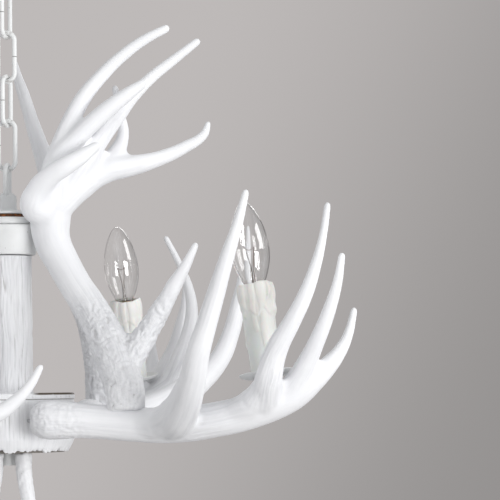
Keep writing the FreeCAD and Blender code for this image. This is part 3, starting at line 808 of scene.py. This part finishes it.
def groove(casting, tines, burr):
    """Presses grooves along every tine and folds round the burr, and stores them for the material's bump and
    painted shade.
    """
    burr_at, burr_reach, burr_relief = burr
    lines = [centreline(points) for points in tines]
    flat, ways, sides, along, radii = (np.concatenate([line[i] for line in lines]) for i in range(5))
    from_tip = np.concatenate([line[3][-1] - line[3] for line in lines])
    which = np.concatenate([np.full(len(line[0]), index) for index, line in enumerate(lines)])
    starts = np.cumsum([0] + [len(line[0]) for line in lines])

    def change(p):
        # found holds the nearest place on each tine's middle line, and gaps how far the point
        # stands off that tine's skin. The tine with the smallest gap gives the point its grooves.
        gaps = np.empty((len(lines), len(p)))
        found = np.empty((len(lines), len(p)), dtype=int)
        for k, line in enumerate(lines):
            search = kdtree.KDTree(len(line[0]))
            for index, point in enumerate(line[0]):
                search.insert(point, index)
            search.balance()
            hits = [search.find(point)[1:] for point in p]
            found[k] = [starts[k] + hit[0] for hit in hits]
            gaps[k] = [hit[1] for hit in hits] - radii[found[k]]
        order = np.argsort(gaps, axis=0)
        nearest = found[order[0], np.arange(len(p))]
        alone = np.ones(len(p))
        if len(lines) > 1:
            first, second = (gaps[order[rank], np.arange(len(p))] for rank in (0, 1))
            alone = np.clip((second - first) / CROTCH, 0, 1)
        # u and v are the point's place in the tine's own cross-section.
        offset = p - flat[nearest]
        across = np.cross(ways[nearest], sides[nearest])
        u, v = (offset * sides[nearest]).sum(1), (offset * across).sum(1)
        reach = np.sqrt(u * u + v * v) + 1e-9
        girth = radii[nearest]
        flutes = np.stack([u / reach * girth * FLUTES_ROUND, v / reach * girth * FLUTES_ROUND,
                           along[nearest] * FLUTES_ALONG + which[nearest] * TINE_SHIFT], axis=1)
        coarse = TIP_SHARE + (1 - TIP_SHARE) * np.clip(from_tip[nearest] / TIP_FADE, 0, 1) ** 1.7
        away = np.linalg.norm(p - np.array(burr_at) / 1000, axis=1) / burr_reach
        gnarled = np.clip((1 - away) * 2.2, 0, 1) * burr_relief
        lines_cut = np.clip(0.5 - np.abs(noise_at(flutes, 2.2)) * 2.4, 0, 1)
        fine_cut = np.clip(0.4 - np.abs(noise_at(flutes * (2.4, 2.4, 1.8), 8.1)) * 1.9, 0, 1)
        cut = (lines_cut * 0.6 + fine_cut * 0.4) * alone
        rough = np.clip(coarse * (0.65 + 0.9 * noise_at(p * 16, 6.6)), 0.05, 1)
        warp = np.stack([noise_at(p * FOLD_WARP, seed) for seed in (1.1, 4.2, 9.7)], axis=1)
        folds = p * FOLD_CELLS + 1.2 * warp
        gnarl = 0.75 - 2.6 * np.abs(noise_at(folds, 3.9)) + 0.8 * noise_at(folds * 1.9, 5.7)
        low = np.clip((PITS_BELOW - p[:, 2] * 1000) / 60, 0, 1)
        pits = np.clip((noise_at(p * PIT_CELLS, 12.5) - 0.52) * 8, 0, 1) * gnarled * low
        # Where the material paints shade: deep in the grooves, in the hollows of the folds and in the pits.
        hollow = cut * rough * 0.7 + gnarled * np.clip(-gnarl, 0, 1) * 0.4 + pits
        store(casting, "grain", "FLOAT_VECTOR", flutes * (1.1, 1.1, 0.8))
        store(casting, "coarse", "FLOAT", np.clip(rough * alone + gnarled * 0.6, 0, 1))
        store(casting, "gnarled", "FLOAT", gnarled)
        store(casting, "depth", "FLOAT", np.clip(hollow, 0, 1))
        press = -GROOVE_DEPTH * rough * (1 - 0.4 * gnarled) * cut + SWELL * noise_at(p * 38, 4.4) * rough
        press += gnarled * (FOLD_DEPTH * np.clip(gnarl, -0.9, 0.7) - 0.0003) - PIT_DEPTH * pits
        return p + normals_of(casting) * np.maximum(press, -0.25 * girth)[:, None]

    move_points(casting, change)


def cast_antler(name, tines, burr, extra=()):
    """One casting: tines joined under one skin, then grooved along their length."""
    solids = []
    for index, points in enumerate(tines):
        solids.append(tine_solid("%s_%d" % (name, index), points))
        x, y, z, r = points[-1]
        solids.append(ball(x, y, z, r + GROW))
        put_in_mesh(solids[-1])
    casting = merge(name, solids + list(extra))
    apply_modifier(casting, "REMESH", mode="VOXEL", voxel_size=FIRST_VOXEL)
    apply_modifier(casting, "SMOOTH", factor=0.5, iterations=SKIN_SMOOTHING)
    move_points(casting, lambda p: p - normals_of(casting) * GROW / 1000)
    apply_modifier(casting, "REMESH", mode="VOXEL", voxel_size=SKIN_VOXEL)
    apply_modifier(casting, "SMOOTH", factor=0.5, iterations=SKIN_SMOOTHING)
    groove(casting, tines, burr)
    select_only(casting)
    bpy.ops.object.shade_smooth()
    return casting


def quarter(number):
    """The turn of the number-th antler or candle, a quarter of the lamp for each."""
    return turn_z(90.0 * number)


def set_round(casting, name, node, numbers, turn=0):
    """Sets copies of a casting at their quarters round the lamp and removes the casting."""
    for number in numbers:
        piece = copy_of(casting, "%s_%d" % (name, number + 1), lift(0) @ quarter(number) @ turn_z(turn))
        place_piece(piece, "lamp", "%s_%d" % (node, number + 1), resin)
    bpy.data.objects.remove(casting)


for kind, brow in enumerate(([], [BROW_TINE])):
    webs = [tine_solid("web", points) for points in LOWER_WEBS]
    casting = cast_antler("lower_casting", [LOWER_BEAM] + LOWER_TINES + brow, LOWER_BURR,
                          [candle_seat()] + webs)
    set_round(casting, "lower_horn", "lower_antler", (kind, kind + 2))
for kind, stem in enumerate(([UPPER_BEAM, UPPER_BROW], [SECOND_BEAM, SECOND_BROW])):
    casting = cast_antler("upper_casting", stem + UPPER_FANS[kind], UPPER_BURR)
    set_round(casting, "upper_horn", "upper_antler", (kind, kind + 2))
casting = cast_antler("finial_casting", [FINIAL_TINE], FINIAL_BURR)
set_round(casting, "finial_tine", "finial_antler", range(4), FINIAL_TURN)

# ---- candles ------------------------------------------------------------------------------------------
# A thin pressed pan, a plastic tube with moulded wax drips over the lamp holder, and a clear candle
# bulb screwed into it. All four are alike and lean square to their beams. Outlines are (radius,
# height above the pan's underside) in millimetres.
SLEEVE_HEIGHT = 84.0
SLEEVE_OUTSIDE = 0.01335     # points further out than this belong to the outer wall, in metres
SLEEVE_TURN = 75             # degrees from one sleeve's drips to the next one's
WAX_DRIPS = [  # turn in degrees, width in degrees, length in mm, thickness in mm
    (20, 34, 30, 1.1), (62, 22, 52, 0.8), (98, 30, 20, 1.2), (135, 20, 66, 0.7), (170, 36, 34, 1.1),
    (214, 26, 58, 0.9), (250, 30, 24, 1.2), (288, 22, 44, 0.9), (322, 30, 62, 0.8), (350, 18, 16, 1.1)]
SKIRT_LENGTH, SKIRT_THICK = 27, 1.0
RIM_BULGE, RIM_BULGE_AT = 1.2, 9
PAN_OUTLINE = [(5.1, 0), (17.6, 0), (20.2, 0.5), (22.5, 1.5), (24.1, 2.9), (25, 4.1), (24.8, 4.7),
               (24.1, 4.6), (22.6, 3.1), (20.6, 1.9), (17.4, 1.2), (5.1, 1.2)]
HOLDER_OUTLINE = [(5.1, 1.3), (12.6, 1.3), (12.6, 79.4), (12, 80), (7.7, 80), (7.1, 79.4), (7.1, 54), (4, 54),
                  (4, 14), (5.1, 14)]
sleeve_outline = [(13.1, 2.1)] + [(13.8, 2.1 + 1.02 * i) for i in range(80)] + [
    (13.75, 83.4), (13.5, 84), (13.2, 83.4)] + [(13.1, 82 - 2.5 * i) for i in range(31)]
BULB_OUTLINE = [(7.4, 81.9), (8.4, 83), (11.2, 87.5), (14, 94.5), (16.4, 103), (17.5, 113), (17, 123),
                (15.4, 132), (12.9, 140.5), (9.8, 147.8), (6.3, 153.6), (3.1, 156.9), (0.01, 158)]
GLASS_WALL = 0.75
cap_outline = [(0.01, 56), (3, 56), (4.5, 57.5), (6, 59.4)] + [
    (6.8 - 0.35 * (i % 2), 61 + 1.25 * i) for i in range(14)] + [
    (6.7, 79.5), (6.8, 81.8), (6.2, 81.8), (6.1, 62), (0.01, 62)]
STEM_OUTLINE = [(0.01, 66), (4.5, 66), (4.2, 74), (3.2, 80), (2.5, 86), (2.2, 95.5), (1.6, 98.4), (0.01, 99)]
WIRE_RADIUS = 0.00034
COIL_THIN = 0.35             # thickness of the coil's wire against the leads'
LEAD_WIRES = [[(-0.9, 0, 84), (-0.8, 0, 97), (-5, 0, 116)], [(0.9, 0, 84), (0.8, 0, 97), (5, 0, 116)]]
COIL_STEPS, COIL_TURN = 60, 2.1  # points on the coil, and radians from one to the next
COIL_HALF, COIL_R, COIL_HEIGHT, COIL_SAG = 5, 0.35, 116, 2
coil_line = [
    (-COIL_HALF + 2 * COIL_HALF * i / COIL_STEPS, COIL_R * math.sin(i * COIL_TURN),
     COIL_HEIGHT + COIL_R * math.cos(i * COIL_TURN) + COIL_SAG * (2 * i / COIL_STEPS - 1) ** 2 - COIL_SAG)
    for i in range(COIL_STEPS + 1)]


def wax(piece):
    """Runs drips of wax down the outside of the tube and lets its rim sag."""
    def change(p):
        r = np.hypot(p[:, 0], p[:, 1])
        turn = np.degrees(np.arctan2(p[:, 1], p[:, 0])) % 360
        z = p[:, 2] * 1000
        down = SLEEVE_HEIGHT - z

        def around(scale, seed):
            way = np.radians(turn)
            return noise_at(np.stack([np.cos(way) * scale, np.sin(way) * scale, z * 0], axis=1), seed)

        relief = np.zeros(len(p))
        for middle, width, length, thick in WAX_DRIPS:
            away = np.abs((turn - middle + 180 + 2.5 * np.sin(z * 0.16 + middle)) % 360 - 180) / (width / 2)
            end = np.clip((length - down) / 5, 0, 1)
            bead = 1 + 0.5 * np.exp(-((down - length + 4) / 4) ** 2)
            relief = np.maximum(relief, thick * bead * np.sqrt(np.clip(1 - away ** 2, 0, 1)) * np.sqrt(end))
        relief += 0.18 * np.sin(np.radians(turn * 3) + z * 0.09)
        skirt = SKIRT_LENGTH + 8 * around(1.9, 3.3)
        relief += SKIRT_THICK * np.clip((skirt - down) / 2, 0, 1)
        relief += (RIM_BULGE * np.clip(1 - ((down - RIM_BULGE_AT) / RIM_BULGE_AT) ** 2, 0, 1)
                   + 0.35 * np.sin(np.radians(turn * 2) + 1) * np.exp(-down / 20))
        sag = around(1.6, 9.2)
        near_top = np.clip((z - 70) / 14, 0, 1)
        moved = p.copy()
        moved[:, :2] *= (1 + np.where(r > SLEEVE_OUTSIDE, relief / 1000 / np.maximum(r, 1e-6), 0))[:, None]
        moved[:, 2] += near_top * (sag * 1.8 - 0.9) / 1000
        return moved
    move_points(piece, change)


def wax_nodes(t):
    place = t.place()
    cloud = t.noise(place, 60.0, 3.0)
    grime = t.noise(place, 25.0, 2.0).between(0.45, 0.7)
    base = t.mix(cloud, (0.80, 0.785, 0.755, 1), (0.87, 0.86, 0.835, 1))
    base = t.mix(grime * 0.25, base, (0.60, 0.57, 0.52, 1))
    return {"Base Color": base, "Roughness": 0.38 + cloud * 0.15,
            "Normal": t.bump(t.noise(place, 300.0, 3.0), 0.2, 0.0004)}


def holder_nodes(t):
    cloud = t.noise(t.place(), 80.0)
    return {"Base Color": t.mix(cloud, (0.50, 0.49, 0.46, 1), (0.58, 0.57, 0.54, 1)),
            "Roughness": 0.3 + cloud * 0.1}


def brass_nodes(t):
    cloud = t.noise(t.place(), 150.0)
    return {"Base Color": t.mix(cloud, (0.62, 0.42, 0.16, 1), (0.78, 0.60, 0.30, 1)),
            "Roughness": 0.2 + cloud * 0.2}


def wire_nodes(t):
    cloud = t.noise(t.place(), 400.0)
    return {"Base Color": t.mix(cloud, (0.12, 0.085, 0.07, 1), (0.22, 0.15, 0.11, 1)),
            "Roughness": 0.35 + cloud * 0.2}


def glass_nodes(t):
    smear = t.noise(t.place(), 30.0, 3.0)
    return {"Roughness": smear.between(0.4, 0.8) * 0.03}


def rounded(points, per=6):
    """A Catmull-Rom line through the points of an outline."""
    knots = np.array([points[0]] + list(points) + [points[-1]], dtype=float)
    line = []
    for i in range(1, len(knots) - 2):
        a, b, c, d = knots[i - 1:i + 3]
        for t in np.arange(0, 1, 1 / per):
            line.append(tuple(0.5 * (2 * b + (c - a) * t + (2 * a - 5 * b + 4 * c - d) * t * t
                                     + (3 * b - a - 3 * c + d) * t ** 3)))
    return line + [tuple(points[-1])]


def stand(piece, number, body, nodes, material):
    """Sets a piece made round the Z axis upright on a candle's place."""
    put_in_mesh(piece, quarter(number) @ at_candle)
    place_piece(piece, body, nodes, material)


def bulb_wires(name):
    """The two leads and the coiled filament between them, as one mesh."""
    data = bpy.data.curves.new("wires", "CURVE")
    data.dimensions = "3D"
    data.bevel_depth = WIRE_RADIUS
    data.bevel_resolution = 3
    for line in LEAD_WIRES + [coil_line]:
        spline = data.splines.new("POLY")
        spline.points.add(len(line) - 1)
        for point, (x, y, z) in zip(spline.points, line):
            point.co = (x / 1000, y / 1000, z / 1000, 1)
            point.radius = COIL_THIN if line is coil_line else 1
    wires = bpy.data.objects.new(name, data)
    bpy.context.scene.collection.objects.link(wires)
    select_only(wires)
    bpy.ops.object.convert(target="MESH")
    bpy.ops.object.shade_smooth()
    return bpy.context.active_object


wax_plastic = finish_of("ivory_drips", {"IOR": 1.47, "Subsurface Weight": 0.15, "Subsurface Scale": 0.004},
                        wax_nodes)
holder_plastic = finish_of("holder_plastic", {"IOR": 1.5}, holder_nodes)
brass = finish_of("cap_brass", {"Metallic": 1.0}, brass_nodes)
dark_wire = finish_of("dark_wire", {"Metallic": 0.8}, wire_nodes)
clear_glass = finish_of("clear_glass", {"Base Color": (1, 1, 1, 1), "Transmission Weight": 1.0, "IOR": 1.4,
                                         "Coat Weight": 1.0, "Coat Roughness": 0.02, "Coat IOR": 1.7},
                        glass_nodes)
outer = rounded(BULB_OUTLINE)
inner = [(max(r - GLASS_WALL, 0.01), z - (GLASS_WALL if r < 3 else 0.0)) for r, z in outer]
for number in range(4):
    mark = number + 1
    bulb = "bulb_%d" % mark
    pan = turned("thin_pan_%d" % mark, PAN_OUTLINE, bevel=0.12)
    stand(pan, number, "lamp", "drip_pan_%d" % mark, enamel)
    holder = turned("socket_%d" % mark, HOLDER_OUTLINE, steps=64)
    stand(holder, number, "lamp", "lamp_holder_%d" % mark, holder_plastic)
    sleeve = turned("wax_tube_%d" % mark, sleeve_outline, steps=220)
    wax(sleeve)
    sleeve.data.transform(turn_z(SLEEVE_TURN * number))
    stand(sleeve, number, "lamp", "candle_sleeve_%d" % mark, wax_plastic)
    glass = turned("clear_bulb_%d" % mark, outer + inner[::-1], steps=128, degrees=60)
    stand(glass, number, bulb, "bulb_glass_%d" % mark, clear_glass)
    cap = turned("screw_cap_%d" % mark, cap_outline, steps=64)
    stand(cap, number, bulb, "bulb_cap_%d" % mark, brass)
    stem = turned("glass_stem_%d" % mark, STEM_OUTLINE, steps=48)
    stand(stem, number, bulb, "bulb_filament_%d" % mark, clear_glass)
    wires = bulb_wires("filament_wires_%d" % mark)
    stand(wires, number, bulb, "bulb_filament_%d" % mark, dark_wire)

# ---- steelwork --------------------------------------------------------------------------------------
# Zinc-plated rods under the candles and screws, an enamelled tube inside the column, and the bare
# steel plate that closes the drum from below. These CAD nodes are shown as they are.


def plate_nodes(t):
    cloud = t.noise(t.place(), 180.0, 4.0, 0.65)
    return {"Base Color": t.mix(cloud, (0.09, 0.08, 0.07, 1), (0.26, 0.24, 0.22, 1)),
            "Roughness": 0.6 + cloud * 0.2}


for name in ("candle_nipples", "hub_screws", "collar_screws"):
    paint_node(name, zinc)
paint_node("hub_base", finish_of("bare_plate", {}, plate_nodes))
paint_node("centre_tube", enamel)
